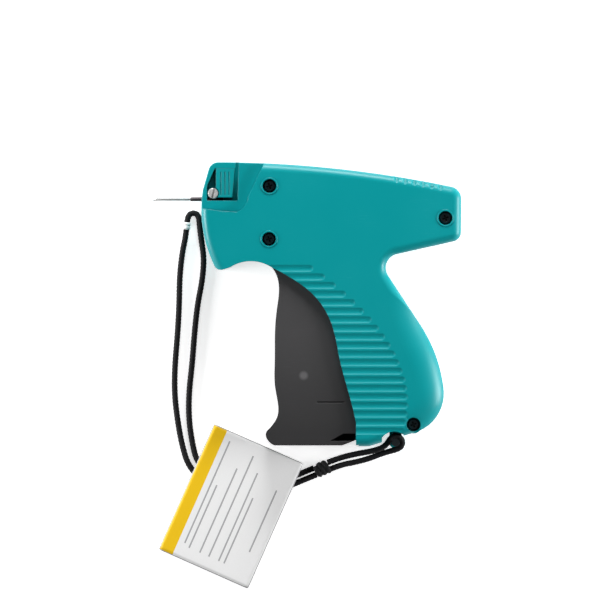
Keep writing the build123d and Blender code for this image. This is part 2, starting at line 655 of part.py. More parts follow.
def trigger():
    low, high = SEAM - TRIGGER_HALF_W, SEAM + TRIGGER_HALF_W
    body = plate(trigger_face(), low, high)
    inner_front = [(x + TRIGGER_FRONT_WALL, y) for x, y in TRIGGER_FRONT]
    inner_front[0] = (inner_front[0][0] + 1.5, inner_front[0][1] + 2.0)
    inner_low = TRIGGER_BASE_Y + TRIGGER_FLOOR
    hollow = make_face([Spline(*inner_front),
                        Polyline(inner_front[-1], (inner_front[-1][0] + 0.8, inner_low),
                                 (TRIGGER_REACH, inner_low), (TRIGGER_REACH, inner_front[0][1]),
                                 inner_front[0])])
    body -= plate(hollow, low + TRIGGER_WALL, high - TRIGGER_WALL)
    corner_high = inner_low + TRIGGER_CORNER_H
    corner = polygon([(TRIGGER_CORNER_X[0], inner_low), (TRIGGER_CORNER_X[1], corner_high),
                      (TRIGGER_REACH, corner_high), (TRIGGER_REACH, inner_low)])
    body -= plate(corner, high - TRIGGER_WALL, high)
    body -= plate(polygon(EAR_ROOM), low + TRIGGER_WALL, high - TRIGGER_WALL)
    body += disc((0, 0), BOSS_HEAD_R + TRIGGER_TUBE_WALL, low, high)
    body -= disc((0, 0), BOSS_HEAD_R + RUN_FIT, 0, CASE_THICK)
    body += cam_wall()
    groove = block(*TRIGGER_GROOVE_X, TRIGGER_GROOVE_Y - TRIGGER_GROOVE_W / 2,
                   TRIGGER_GROOVE_Y + TRIGGER_GROOVE_W / 2, high - TRIGGER_GROOVE_DEPTH, high)
    body -= groove
    body -= mirrored(groove)
    return body


# ================================================================ drive lever
def cross_pin_rest():
    """Centre of the pin at the top of the lever, at rest."""
    return polar(LEVER_AT, LEVER_REACH, 90 - LEVER_SWING / 2)


def drive_lever():
    low, high = SEAM - LEVER_THICK / 2, SEAM + LEVER_THICK / 2
    top = cross_pin_rest()
    knob = polar(LEVER_AT, LEVER_LOWER, 270 - LEVER_LOWER_LEAN)
    elbow = [(LEVER_AT[0] + x, LEVER_AT[1] + y) for x, y in LEVER_ELBOW]
    neck = (top[0] + LEVER_NECK[0], top[1] + LEVER_NECK[1])
    body = bar([LEVER_AT] + elbow + [neck, top], LEVER_ARM_W, low, high)
    body += disc(top, CROSS_PIN_R + 2.0, low, high)
    body += bar([LEVER_AT, knob], LEVER_LOWER_W, low, high)
    body += disc(knob, LEVER_KNOB_R, SEAM - LEVER_KNOB_HALF_Z, SEAM + LEVER_KNOB_HALF_Z)
    body += disc(LEVER_AT, LEVER_HUB_R, low, high)
    body += disc(LEVER_AT, LEVER_SLEEVE_R, *LEVER_SLEEVE_Z)
    body += disc(spring_posts()[0], SPRING_POST_R, low, SPRING_LOW_Z + SPRING_WIRE_R)
    body -= disc(LEVER_AT, LEVER_PIN_R + RUN_FIT, 0, CASE_THICK)
    body -= disc(top, CROSS_PIN_R, 0, CASE_THICK)
    return body


def lever_pin():
    return disc(LEVER_AT, LEVER_PIN_R, 3.0, CASE_THICK - 3.0)


def cross_pin():
    return disc(cross_pin_rest(), CROSS_PIN_R, SEAM - CROSS_PIN_HALF_Z, SEAM + CROSS_PIN_HALF_Z)


def spring_end(angle, length, direction):
    """End of a leg that leaves the coil along its tangent."""
    start = polar(LEVER_AT, SPRING_R, angle)
    return polar(start, length, angle + direction * 90)


def spring_case_angle():
    return SPRING_START + 360 * SPRING_TURNS


def spring_posts():
    """Places of the posts that the two legs bear on: the lever's and the case's."""
    reach = SPRING_WIRE_R + SPRING_POST_R + RUN_FIT
    lever_end = spring_end(SPRING_START, SPRING_LEG - 1.5, -1)
    case_end = spring_end(spring_case_angle(), SPRING_CASE_LEG - 1.5, 1)
    return polar(lever_end, reach, SPRING_START - 180), polar(case_end, reach, spring_case_angle() + 180)


def return_spring():
    """Torsion spring round the lever's sleeve, one leg on the lever and one on the case."""
    step = 45.0
    corner_r = SPRING_R / math.cos(math.radians(step / 2))
    route = [(*spring_end(SPRING_START, SPRING_LEG, -1), SPRING_LOW_Z)]
    for index in range(round(360 * SPRING_TURNS / step)):
        turn = step * (index + 0.5)
        z = SPRING_LOW_Z + SPRING_PITCH * turn / 360
        route.append((*polar(LEVER_AT, corner_r, SPRING_START + turn), z))
    top_z = SPRING_LOW_Z + SPRING_PITCH * SPRING_TURNS
    route.append((*spring_end(spring_case_angle(), SPRING_CASE_LEG, 1), top_z))
    return rounded_tube(route, SPRING_WIRE_R)[0]


# ================================================================ ejector
def ejector_slide():
    pin_x, pin_y = cross_pin_rest()
    body = block(pin_x - SLIDE_FRONT, pin_x + SLIDE_REAR, SLIDE_LOW_Y, SLIDE_HIGH_Y, SEAM - SLIDE_HALF_Z,
                 SEAM + SLIDE_HALF_Z)
    body -= block(pin_x - SLIDE_BRIDGE, pin_x + SLIDE_REAR + 1, SLIDE_LOW_Y - 1, SLIDE_HIGH_Y + 1,
                  SEAM - SLIDE_HALF_Z + SLIDE_CHEEK, SEAM + SLIDE_HALF_Z - SLIDE_CHEEK)
    half = CROSS_PIN_R + SLOT_SIDE_GAP
    body -= block(pin_x - half, pin_x + half, pin_y - half, SLIDE_HIGH_Y + 1, 0, CASE_THICK)
    body -= Pos(pin_x - SLIDE_FRONT, NEEDLE_Y, SEAM) * Rot(0, 90, 0) * Cylinder(
        ROD_R, ROD_SEAT, align=(Align.CENTER, Align.CENTER, Align.MIN))
    at_x = cross_pin_rest()[0] - SLIDE_FRONT + ROD_SEAT / 2
    body -= Pos(at_x, NEEDLE_Y, SEAM) * Rot(-90, 0, 0) * Cylinder(
        ROD_SCREW_R, SLIDE_HIGH_Y, align=(Align.CENTER, Align.CENTER, Align.MIN))
    return body


def rod_screw():
    """Grub screw with a slot, holding the rod in the slide."""
    at_x = cross_pin_rest()[0] - SLIDE_FRONT + ROD_SEAT / 2
    top = SLIDE_HIGH_Y - ROD_SCREW_SINK
    low = NEEDLE_Y + ROD_R
    body = Pos(at_x, (top + low) / 2, SEAM) * Rot(90, 0, 0) * Cylinder(ROD_SCREW_R, top - low)
    return body - block(at_x - 0.25, at_x + 0.25, top - 0.8, top + 1, 0, CASE_THICK)


def ejector_rod():
    seat_x = cross_pin_rest()[0] - SLIDE_FRONT + ROD_SEAT
    return along_needle(ROD_REST_X, seat_x, ROD_R)


# ================================================================ needle and feed
def needle():
    """Hollow slotted needle with a thicker shank from the nose to the rear of its hub."""
    shank_x = NEEDLE_TIP_X + NEEDLE_FREE
    body = along_needle(NEEDLE_TIP_X, shank_x, NEEDLE_R) + along_needle(shank_x, HUB_REAR_X, NEEDLE_SHANK_R)
    body -= along_needle(NEEDLE_TIP_X - 1, HUB_REAR_X + 1, NEEDLE_BORE_R)
    body -= block(NEEDLE_TIP_X - 1, HUB_REAR_X + 1, NEEDLE_Y - NEEDLE_SLOT / 2, NEEDLE_Y + NEEDLE_SLOT / 2,
                  SEAM, SEAM + 2)
    low, high = NEEDLE_Y - NEEDLE_R, NEEDLE_Y + NEEDLE_R + 1
    bevel = polygon([(NEEDLE_TIP_X - 1, high), (NEEDLE_TIP_X - 1, low), (NEEDLE_TIP_X, low),
                     (NEEDLE_TIP_X + NEEDLE_BEVEL, high)])
    body -= plate(bevel, SEAM - 2, SEAM + 2)
    return body


def needle_hub():
    body = block(HUB_FRONT_X, HUB_REAR_X, NEEDLE_Y - HUB_HALF_Y, NEEDLE_Y + HUB_HALF_Y, SEAM - HUB_HALF_Z,
                 SEAM + HUB_HALF_Z)
    body -= along_needle(HUB_FRONT_X - 1, HUB_REAR_X + 1, NEEDLE_SHANK_R)
    body -= block(HUB_FRONT_X - 1, HUB_REAR_X + 1, NEEDLE_Y - SLIT_W / 2, NEEDLE_Y + SLIT_W / 2, SEAM,
                  SEAM + HUB_HALF_Z + 1)
    body -= knife_blank(0.0)
    return body


def knife_blank(stand_out):
    """Blade plate between the fastener and its runner, just behind the needle."""
    low = CHANNEL_LOW_Z + KNIFE_LIFT
    return block(HUB_REAR_X - KNIFE_SEAT, HUB_REAR_X + stand_out, NEEDLE_Y - KNIFE_HALF_Y,
                 NEEDLE_Y + KNIFE_HALF_Y, low, low + KNIFE_THICK)


def knife():
    body = knife_blank(KNIFE_STAND_OUT)
    edge_x = HUB_REAR_X + KNIFE_STAND_OUT
    low = CHANNEL_LOW_Z + KNIFE_LIFT
    high = low + KNIFE_THICK
    edge = polygon([(edge_x - KNIFE_EDGE, high), (edge_x, low + 0.1), (edge_x + 0.1, high)])
    body -= extrude(Plane.XZ.offset(-NEEDLE_Y) * edge, amount=KNIFE_HALF_Y + 1, both=True)
    return body


def needle_housing():
    """Removable block beside the clip slot, over the needle's seat."""
    low_y = NEEDLE_Y + SLIT_W / 2 + 0.2
    high_y = POCKET_TOP_Y - SEAT
    area = polygon([(HOUSING_LEFT_X, low_y), (-18.05, low_y), (-16.75, high_y), (HOUSING_LEFT_X, high_y)])
    top = CASE_THICK - HEAD_STEP + HOUSING_STAND
    body = plate(area, POCKET_FLOOR_Z, top)
    body -= disc(LOCK_AT, LOCK_HEAD_R + GAP, POCKET_FLOOR_Z, top + 1)
    for x in (-23.6, -21.6, -19.6):
        body -= block(x - 0.25, x + 0.25, low_y + 1.2, high_y - 1.6, top - 0.3, top + 1)
    return body


def needle_lock_screw():
    top = LOCK_HEAD_LOW_Z + LOCK_HEAD_H
    body = disc(LOCK_AT, LOCK_HEAD_R, LOCK_HEAD_LOW_Z, top)
    body = fillet(body.edges().group_by(Axis.Z)[-1], 0.5)
    body += disc(LOCK_AT, LOCK_SHANK_R, SEAM + HUB_HALF_Z + GAP, LOCK_HEAD_LOW_Z)
    slot = block(LOCK_AT[0] - LOCK_SLOT_W / 2, LOCK_AT[0] + LOCK_SLOT_W / 2, LOCK_AT[1] - 4, LOCK_AT[1] + 4,
                 top - 0.9, top + 1)
    body -= turned(slot, LOCK_AT, LOCK_SLOT_TILT)
    return body


def feed_wheel():
    points = []
    step = 360 / WHEEL_TEETH
    for index in range(WHEEL_TEETH):
        points.append(polar(WHEEL_AT, WHEEL_R, index * step))
        points.append(polar(WHEEL_AT, WHEEL_ROOT_R, index * step + 0.25 * step))
        points.append(polar(WHEEL_AT, WHEEL_ROOT_R, index * step + 0.75 * step))
    body = plate(polygon(points), WHEEL_LOW_Z, WHEEL_HIGH_Z)
    body -= disc(WHEEL_AT, AXLE_R + RUN_FIT, 0, CASE_THICK)
    return body


def feed_wheel_axle():
    body = disc(WHEEL_AT, AXLE_R, WALL + 1.0, WHEEL_HIGH_Z + GAP)
    body += disc(WHEEL_AT, AXLE_HEAD_R, WHEEL_HIGH_Z + GAP, WHEEL_HIGH_Z + GAP + AXLE_HEAD_H)
    return body


def feed_pawl():
    """Collar on the trigger's hub with a finger that steps the feed wheel."""
    tip = polar(WHEEL_AT, WHEEL_R + 0.5 + 0.9, 248)
    inner_r = BOSS_HEAD_R + TRIGGER_TUBE_WALL
    root = polar((0, 0), inner_r + PAWL_WALL / 2, 128)
    body = disc((0, 0), inner_r + PAWL_WALL, WHEEL_LOW_Z, WHEEL_HIGH_Z)
    body += bar([root, tip], PAWL_FINGER_W, WHEEL_LOW_Z, WHEEL_HIGH_Z)
    body -= disc((0, 0), inner_r, 0, CASE_THICK)
    return body


def detent_points():
    foot = polar(WHEEL_AT, WHEEL_R + 4.6, -38)
    bend = polar(WHEEL_AT, WHEEL_R + 1.1, -16)
    nose = polar(WHEEL_AT, WHEEL_R + 0.55, 2)
    return foot, bend, nose


def detent_line(width):
    foot, bend, nose = detent_points()
    line = Polyline(foot, bend, nose)
    return trace(line, width)


def detent_post():
    foot = detent_points()[0]
    return block(foot[0] - 1.8, foot[0] + 1.8, foot[1] - 1.0, foot[1] + 1.8, WALL / 2, WHEEL_HIGH_Z)


def detent_spring():
    return plate(detent_line(0.4), WHEEL_LOW_Z + 0.1, WHEEL_HIGH_Z - 0.1)


# ================================================================ fasteners
def case_screws():
    screws = []
    for name, at in SCREW_PLACES.items():
        seat = SCREW_SEAT_Z[name]
        top = seat + SCREW_HEAD_H
        screw = disc(at, SCREW_HEAD_R, seat, top)
        screw = fillet(screw.edges().group_by(Axis.Z)[-1], 0.6)
        screw += disc(at, SCREW_SHANK_R, SCREW_TIP_Z, seat)
        for turn in (20, 110):
            wing = block(at[0] - 1.5, at[0] + 1.5, at[1] - 0.35, at[1] + 0.35, top - 1.1, top + 1)
            screw -= turned(wing, at, turn)
        screws.append(screw)
    return Compound(children=screws)


# ================================================================ wrist strap
def cord(points, name):
    """A cord of the strap; prints its length and arc radii."""
    tube, length, radii = rounded_tube(points, CORD_R)
    expected = math.pi * CORD_R ** 2 * length
    print(name, "length", round(length, 1), "volume ratio", round(tube.volume / expected, 4),
          "radii", [round(radius, 1) for radius in radii])
    return tube


def knot_frame():
    return Pos(*KNOT_AT) * Rot(0, 0, KNOT_HEADING)


def knot_end(along, aside, up):
    """A place on an end face of the knot."""
    place = knot_frame() * Pos(along * KNOT_SIZE[0] / 2, aside * STRAND_OFFSET, up)
    return place.position


def strap_neck():
    """From the knot round the pin in the grip's foot and back to the knot."""
    first = knot_end(-1, -1, 0.0)
    last = knot_end(-1, 1, 0.0)
    heading = knot_end(-1, 0, 0) - knot_end(1, 0, 0)
    step = heading.normalized() * 6.0
    around = []
    for angle, z in ((121.25, 10.4), (63.75, 9.8), (6.25, 8.9), (-51.25, 8.2)):
        x, y = polar(PIN_AT, 3.76, angle)
        around.append((x, y, z))
    route = [first, first + step, (43.0, -105.2, 6.0), (50.4, -104.0, 8.6), (56.9, -101.9, 10.2)]
    route += around
    route += [(56.6, -104.6, 7.4), (49.6, -107.4, 6.3), (42.2, -109.4, 5.0), last + step, last]
    return cord(route, "strap_neck")


LOOP_LEFT = [(3.0, -124.0), (-9.5, -125.4), (-22.0, -122.8), (-33.0, -118.0), (-39.6, -111.0),
             (-42.6, -101.0), (-44.8, -89.0), (-46.3, -76.0), (-46.2, -63.0), (-44.9, -48.0), (-44.0, -33.0),
             (-43.8, -18.0), (-42.4, -6.0)]
LOOP_TOP = [(-37.1, 13.0), (-34.4, 11.6)]
LOOP_RIGHT = [(-33.9, 5.6), (-33.0, -1.4), (-31.8, -9.6), (-32.6, -20.0), (-35.0, -32.0), (-36.5, -46.0),
              (-37.6, -61.0), (-39.2, -75.0), (-39.3, -88.0), (-37.6, -100.0), (-35.4, -109.0),
              (-29.2, -115.0), (-19.0, -119.4), (-8.0, -121.6), (3.0, -120.6)]
STRAND_LOW = -0.9              # below the middle of the knot, where the long strands leave it


def strand_exit(aside):
    """End of a long strand on the knot's outer face, and a point straight out from it."""
    at = knot_end(1, aside, STRAND_LOW)
    outward = (knot_end(1, 0, 0) - knot_end(-1, 0, 0)).normalized()
    return at, at + outward * 8.0


def joiner_point(along):
    """A point on the joiner's axis, from its lower end."""
    x, y = polar(JOINER_FROM, along, JOINER_HEADING)
    return x, y, JOINER_FROM[2]


def on_floor(points):
    return [(x, y, FLOOR_Z) for x, y in points]


def strap_loop_left():
    at, clear = strand_exit(1)
    route = [at, clear] + on_floor(LOOP_LEFT) + [joiner_point(-4.4), joiner_point(0)]
    return cord(route, "strap_loop_left")


def strap_loop_right():
    at, clear = strand_exit(-1)
    route = [joiner_point(JOINER_LENGTH), joiner_point(JOINER_LENGTH + 3.3)]
    route += on_floor(LOOP_TOP + LOOP_RIGHT) + [clear, at]
    return cord(route, "strap_loop_right")


def strap_knot():
    body = Box(*KNOT_SIZE)
    body = fillet(body.edges().filter_by(Axis.X), 2.2)
    return knot_frame() * body


def strap_joiner():
    along = Vector(math.cos(math.radians(JOINER_HEADING)), math.sin(math.radians(JOINER_HEADING)))
    body = Plane(origin=JOINER_FROM, z_dir=along) * Cylinder(JOINER_R, JOINER_LENGTH,
                                                            align=(Align.CENTER, Align.CENTER, Align.MIN))
    return body


def strap_pin():
    body = disc(PIN_AT, PIN_R, LUG_Z[0] + 0.5, PIN_TOP_Z)
    body += disc(PIN_AT, PIN_HEAD_R, PIN_TOP_Z - 0.8, PIN_TOP_Z)
    return body


def hang_card():
    """Card lying on the strap, its far edge on the floor."""
    width, length, thick = CARD_SIZE
    sheet = Pos(0, 0, thick / 2) * Box(width, length, thick)
    rise = length / 2 * math.sin(math.radians(CARD_TILT))
    middle = Pos(*CARD_MIDDLE, CARD_LOW_Z + rise)
    return middle * Rot(0, 0, CARD_HEADING) * Rot(CARD_TILT, 0, 0) * sheet


PIECES = [left_shell, right_shell, case_screws, trigger, drive_lever, lever_pin, cross_pin, return_spring,
          ejector_slide, ejector_rod, rod_screw, needle, needle_hub, knife, needle_housing, needle_lock_screw,
          feed_wheel, feed_wheel_axle, feed_pawl, detent_spring, strap_pin, strap_neck, strap_knot,
          strap_loop_left, strap_loop_right, strap_joiner, hang_card]

os.makedirs("parts", exist_ok=True)
for piece in PIECES:
    export_step(piece(), "parts/" + piece.__name__ + ".step")
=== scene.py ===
"""Dresses the garment tag attacher: finishes for every piece, its braided strap, its card and the stage."""

import math

import bmesh
import bpy
from bpy.props import FloatProperty, FloatVectorProperty, IntProperty, PointerProperty
from bpy.types import Operator, Panel, PropertyGroup
from mathutils import Matrix, Vector


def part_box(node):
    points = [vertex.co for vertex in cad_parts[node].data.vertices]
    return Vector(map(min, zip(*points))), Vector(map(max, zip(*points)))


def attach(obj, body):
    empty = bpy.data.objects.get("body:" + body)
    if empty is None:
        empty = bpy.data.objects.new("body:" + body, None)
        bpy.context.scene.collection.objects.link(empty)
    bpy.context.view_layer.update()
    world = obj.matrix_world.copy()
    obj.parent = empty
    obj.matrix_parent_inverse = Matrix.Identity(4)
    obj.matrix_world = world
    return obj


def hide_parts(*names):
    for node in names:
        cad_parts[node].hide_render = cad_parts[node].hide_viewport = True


bl_info = {
    "name": "Tag attacher finishes",
    "version": (1, 0, 0),
    "blender": (4, 5, 0),
    "location": "3D View > Sidebar > Tag attacher",
    "description": "Plastic, steel, braid and card for a garment tag attacher",
    "category": "Object",
}

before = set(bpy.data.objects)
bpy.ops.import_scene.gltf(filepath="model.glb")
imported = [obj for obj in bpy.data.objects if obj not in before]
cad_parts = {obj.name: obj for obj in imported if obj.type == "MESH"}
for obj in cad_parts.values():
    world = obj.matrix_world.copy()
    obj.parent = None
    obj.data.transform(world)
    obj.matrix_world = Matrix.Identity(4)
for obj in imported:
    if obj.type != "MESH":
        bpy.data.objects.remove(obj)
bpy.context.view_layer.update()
MM = 0.001
WHITE = (1.0, 1.0, 1.0, 1.0)

# ================================================================ places, in metres
CORD_DIAMETER = 3.0 * MM
CORD_HEIGHT = 1.6 * MM           # of the cord's middle where it lies on the floor
CORD_SPACING = 0.4 * MM          # between the rings of points along a cord
CORD_FACETS = 20
SLEEVE_FACETS = 32
CARD_MIDDLE = Vector((-18.6, -131.0, 0.0)) * MM
CARD_TURN = math.radians(-23.9)  # about the upright axis
CARD_TILT = math.radians(4.9)    # lifts the end that lies on the strap
CARD_COLUMNS = 24
CARD_ROWS = 34
# Ruled lines of the card: share of its width from the band's side, start and end as shares of its length
CARD_RULES = ((0.22, 0.12, 0.93), (0.28, 0.1, 0.6), (0.4, 0.1, 0.77), (0.5, 0.1, 0.9), (0.61, 0.1, 0.8),
              (0.67, 0.1, 0.62), (0.86, 0.25, 0.74))
SHANK_FROM = -38.4 * MM          # where the needle's thin part meets its shank
SHANK_BLEND = 0.3 * MM           # reach of the change of colour there, each way
FOOT_SHADE_FROM = -45.0 * MM           # height on the trigger below which painted shade darkens it
FOOT_SHADE_FULL = -95.0 * MM           # height at which the painted shade is full
PALE_SPOT_AT = (17.0 * MM, -66.9 * MM, 22.8 * MM)    # middle of a pale round spot on the trigger's side
PALE_SPOT_R = (1.2 * MM, 2.6 * MM)    # the spot is full out to the first radius and gone at the second
VIEW_MIDDLE = Vector((15.2, -29.9, 0.0)) * MM
VIEW_WIDTH = 294.0 * MM
CAMERA_HEIGHT = 0.6
FLOOR_HALF = 4.0
LAMPS = (("top", (0.06, 0.75, 0.28)), ("rear", (0.85, -0.05, 0.22)), ("front", (-0.80, -0.02, 0.24)))
LAMP_SIZE = 0.35
# The world dims between these directions, given as the sine of their height above the horizon
FADE_FROM = 0.35
FADE_TO = 0.85

# ================================================================ strap, in millimetres and degrees
NECK_ROUTE = [(43.0, -105.2, 6.0), (50.4, -104.0, 8.6), (56.9, -101.9, 10.2)]
NECK_RETURN = [(56.6, -104.6, 7.4), (49.6, -107.4, 6.3), (42.2, -109.4, 5.0)]
NECK_LEAD = 6.0                 # straight stretch of the neck out of the knot
PIN_AT = (62.0, -99.8)
PIN_LOOP_R = 3.76
PIN_TURNS = ((121.25, 10.4), (63.75, 9.8), (6.25, 8.9), (-51.25, 8.2))    # angle round the pin, height
KNOT_AT = (26.0, -112.5, 2.9)
KNOT_HEADING = -158.0
KNOT_SIZE = (7.0, 7.4, 5.4)
KNOT_TURNS = 2.4
KNOT_STEPS = 90
KNOT_GRIP = 1.6                 # how far the knot reaches over the strands' ends, both sides together
STRAND_OFFSET = 1.75            # of a strand's end from the knot's middle, sideways
STRAND_LOW = -0.9               # of a long strand's end from the knot's middle, up or down
STRAND_LEAD = 8.0               # straight stretch of a long strand out of the knot
JOINER_R = 1.9
JOINER_FROM = (-40.5, 4.6, JOINER_R + 0.1)
JOINER_HEADING = 84.0
JOINER_LENGTH = 3.6
JOINER_LEAD_LEFT = 4.4          # straight stretches of the strands into the two ends of the joiner
JOINER_LEAD_RIGHT = 3.3
# Outline of the joiner's sleeve: share of its length, share of its radius
SLEEVE_PROFILE = ((0.0, 0.82), (0.12, 0.97), (0.3, 1.0), (0.38, 0.93), (0.5, 0.9), (0.62, 0.93), (0.7, 1.0),
                  (0.88, 0.97), (1.0, 0.82))
LOOP_LEFT = [(3.0, -124.0), (-9.5, -125.4), (-22.0, -122.8), (-33.0, -118.0), (-39.6, -111.0),
             (-42.6, -101.0), (-44.8, -89.0), (-46.3, -76.0), (-46.2, -63.0), (-44.9, -48.0), (-44.0, -33.0),
             (-43.8, -18.0), (-42.4, -6.0)]
LOOP_TOP = [(-37.1, 13.0), (-34.4, 11.6)]
LOOP_RIGHT = [(-33.9, 5.6), (-33.0, -1.4), (-31.8, -9.6), (-32.6, -20.0), (-35.0, -32.0), (-36.5, -46.0),
              (-37.6, -61.0), (-39.2, -75.0), (-39.3, -88.0), (-37.6, -100.0), (-35.4, -109.0),
              (-29.2, -115.0), (-19.0, -119.4), (-8.0, -121.6), (3.0, -120.6)]


# ================================================================ settings
def colour(name, words, value):
    """A colour that the user can change."""
    return FloatVectorProperty(name=name, description=words, subtype="COLOR", size=4, min=0.0, max=1.0,
                               default=(*value, 1.0))


def measure(name, words, value):
    """A length that the user can change."""
    return FloatProperty(name=name, description=words, default=value, unit="LENGTH")


def power(name, words, value):
    """A lamp's power that the user can change."""
    return FloatProperty(name=name, description=words, default=value, unit="POWER")


class CaseSettings(PropertyGroup):
    shell: colour("Shell", "Teal of the moulded case", (0.0, 0.28, 0.304))
    trigger: colour("Trigger", "Grey of the moulded trigger", (0.059, 0.058, 0.06))
    inside: colour("Inner parts", "Natural nylon of the parts inside", (0.62, 0.60, 0.54))
    grain: measure("Grain", "Size of the grain etched in the mould", 0.35 * MM)


class MetalSettings(PropertyGroup):
    dark: colour("Case screws", "Blackened steel of the case screws", (0.11, 0.12, 0.13))
    bright: colour("Lock screw", "Nickel plate", (0.86, 0.86, 0.85))
    needle: colour("Needle", "Ground steel of the needle", (0.92, 0.92, 0.92))
    # painted dark reflection on the needle's shank by the nose
    shank: colour("Shank", "Blackened steel of the needle's shank", (0.14, 0.11, 0.12))
    wire: colour("Wire", "Spring steel", (0.4, 0.4, 0.41))


class StrapSettings(PropertyGroup):
    cord: colour("Cord", "Black braided cord", (0.004, 0.004, 0.005))
    sleeve: colour("Sleeve", "White sleeve that joins the ends", (0.8, 0.8, 0.79))
    sleeve_grain: measure("Sleeve grain", "Size of the grain of the sleeve", 0.3 * MM)
    strands: IntProperty(name="Strands", description="Carriers of the braid, one way round", default=4, min=2)
    pitch: measure("Pitch", "Length of one turn of a strand", 7.0 * MM)
    relief: measure("Relief", "Height of a strand over its neighbours", 0.16 * MM)


class CardSettings(PropertyGroup):
    width: measure("Width", "Short side of the card", 48.0 * MM)
    length: measure("Length", "Long side of the card", 67.5 * MM)
    thickness: measure("Thickness", "Thickness of the card", 0.35 * MM)
    corner: measure("Corner", "Radius of the card's corners", 0.6 * MM)
    band_width: measure("Band width", "Width of the band", 7.3 * MM)
    rule_width: measure("Rule width", "Width of a ruled line", 0.75 * MM)
    edge_line_width: measure("Frame width", "Width of the frame at the card's edge", 0.45 * MM)
    paper: colour("Paper", "White of the coated card", (0.95, 0.95, 0.95))
    band: colour("Band", "Yellow band along one side", (0.95, 0.59, 0.005))
    ink: colour("Ink", "Grey of the ruled lines", (0.42, 0.42, 0.43))


class StageSettings(PropertyGroup):
    floor: colour("Floor", "Pale floor", (0.9, 0.9, 0.9))
    glow: FloatProperty(name="Glow", description="Light of the floor as the camera sees it", default=0.7)
    world: FloatProperty(name="World", description="Strength of the light near the horizon", default=0.22)
    zenith: FloatProperty(name="Zenith", description="Share of that light that comes from straight above",
                          default=0.3, min=0.0, max=1.0, subtype="FACTOR")
    top: power("Top lamp", "Power of the lamp beyond the top edge", 8.2)
    rear: power("Rear lamp", "Power of the lamp beyond the rear", 9.2)
    front: power("Front lamp", "Power of the lamp beyond the needle", 8.2)


class AttacherSettings(PropertyGroup):
    case: PointerProperty(type=CaseSettings)
    metal: PointerProperty(type=MetalSettings)
    strap: PointerProperty(type=StrapSettings)
    card: PointerProperty(type=CardSettings)
    stage: PointerProperty(type=StageSettings)


def settings():
    """The settings of the scene in use."""
    return bpy.context.scene.tag_attacher


# ================================================================ materials
def add_node(tree, kind, inputs=None, **values):
    """Adds a node with its values set, and each input wired from a socket or filled in."""
    node = tree.nodes.new(kind)
    for key, value in values.items():
        setattr(node, key, value)
    for key, source in (inputs or {}).items():
        if isinstance(source, bpy.types.NodeSocket):
            tree.links.new(source, node.inputs[key])
        else:
            node.inputs[key].default_value = source
    return node


def scaled(base, factor, lift=0.0):
    """A lighter or darker colour."""
    return tuple(min(1.0, (part + lift) * factor) for part in base[:3]) + (1.0,)


class Surface:
    """A material in the making: its shader, and the patterns that are wired into it."""

    def __init__(self, name):
        self.material = bpy.data.materials.new(name)
        self.material.use_nodes = True
        self.tree = self.material.node_tree
        self.shader = self.tree.nodes["Principled BSDF"]
        self.tint = None

    def add(self, kind, inputs=None, **values):
        """Adds a node to this material."""
        return add_node(self.tree, kind, inputs, **values)

    def place(self, kind="Object"):
        """Coordinates on the piece: its own, in metres, or those of its UV map."""
        return self.add("ShaderNodeTexCoord").outputs[kind]

    def stretched(self, place, scale, turn=0.0):
        """Coordinates turned about Z and scaled along each axis."""
        return self.add("ShaderNodeMapping", {"Vector": place, "Scale": scale,
                                              "Rotation": (0.0, 0.0, turn)}).outputs[0]

    def noise(self, place, scale, detail, roughness=0.55):
        """Soft random values about 0.5; the scale is in spots per unit of the coordinates."""
        return self.add("ShaderNodeTexNoise", {"Vector": place, "Scale": scale, "Detail": detail,
                                               "Roughness": roughness}).outputs[0]

    def ranged(self, value, low, high, to_low=0.0, to_high=1.0):
        """Brings what lies from low to high to the new range, and holds the rest at its ends."""
        return self.add("ShaderNodeMapRange", {"Value": value, "From Min": low, "From Max": high,
                                               "To Min": to_low, "To Max": to_high}).outputs[0]

    def worked(self, operation, one, other):
        """The result of a sum, product or comparison of two values."""
        return self.add("ShaderNodeMath", {0: one, 1: other}, operation=operation).outputs[0]

    def times(self, one, other):
        """The product, which also cuts one mask by another."""
        return self.worked("MULTIPLY", one, other)

    def plus(self, one, other):
        """The sum."""
        return self.worked("ADD", one, other)

    def between(self, value, low, high):
        """1 between the two limits and 0 outside them."""
        return self.times(self.worked("GREATER_THAN", value, low), self.worked("LESS_THAN", value, high))

    def painted(self, under, mask, over):
        """One colour where the mask is 0, and the other over it where the mask is 1."""
        factor, first, second, result = 0, 6, 7, 2    # the mix node's sockets for colours
        mix = self.add("ShaderNodeMix", {factor: mask, first: under, second: over}, data_type="RGBA")
        return mix.outputs[result]

    def corner_shade(self, reach):
        """1 deep in slots and corners, 0 in the open."""
        shade = self.add("ShaderNodeAmbientOcclusion", {"Distance": reach}, samples=8)
        return self.ranged(shade.outputs["AO"], 0.25, 0.85, to_low=1.0, to_high=0.0)

    def relief(self, height, strength, distance, rounding=0.0):
        """Fine relief in the shading, over edges that are shaded as if slightly rounded."""
        inputs = {"Height": height, "Strength": strength, "Distance": distance}
        if rounding:
            inputs["Normal"] = self.add("ShaderNodeBevel", {"Radius": rounding}, samples=6).outputs[0]
        return self.add("ShaderNodeBump", inputs).outputs[0]

    def finish(self, relief, tint, rough):
        """Wires relief, colour and roughness into the shader."""
        self.tint = tint
        for name, source in (("Normal", relief), ("Base Color", tint), ("Roughness", rough)):
            self.tree.links.new(source, self.shader.inputs[name])

    def overpaint(self, mask, over):
        """Lays one more colour over a finished surface."""
        self.tint = self.painted(self.tint, mask, over)
        self.tree.links.new(self.tint, self.shader.inputs["Base Color"])

    def give(self, values):
        """Sets the shader's plain values."""
        for name, value in values.items():
            self.shader.inputs[name].default_value = value


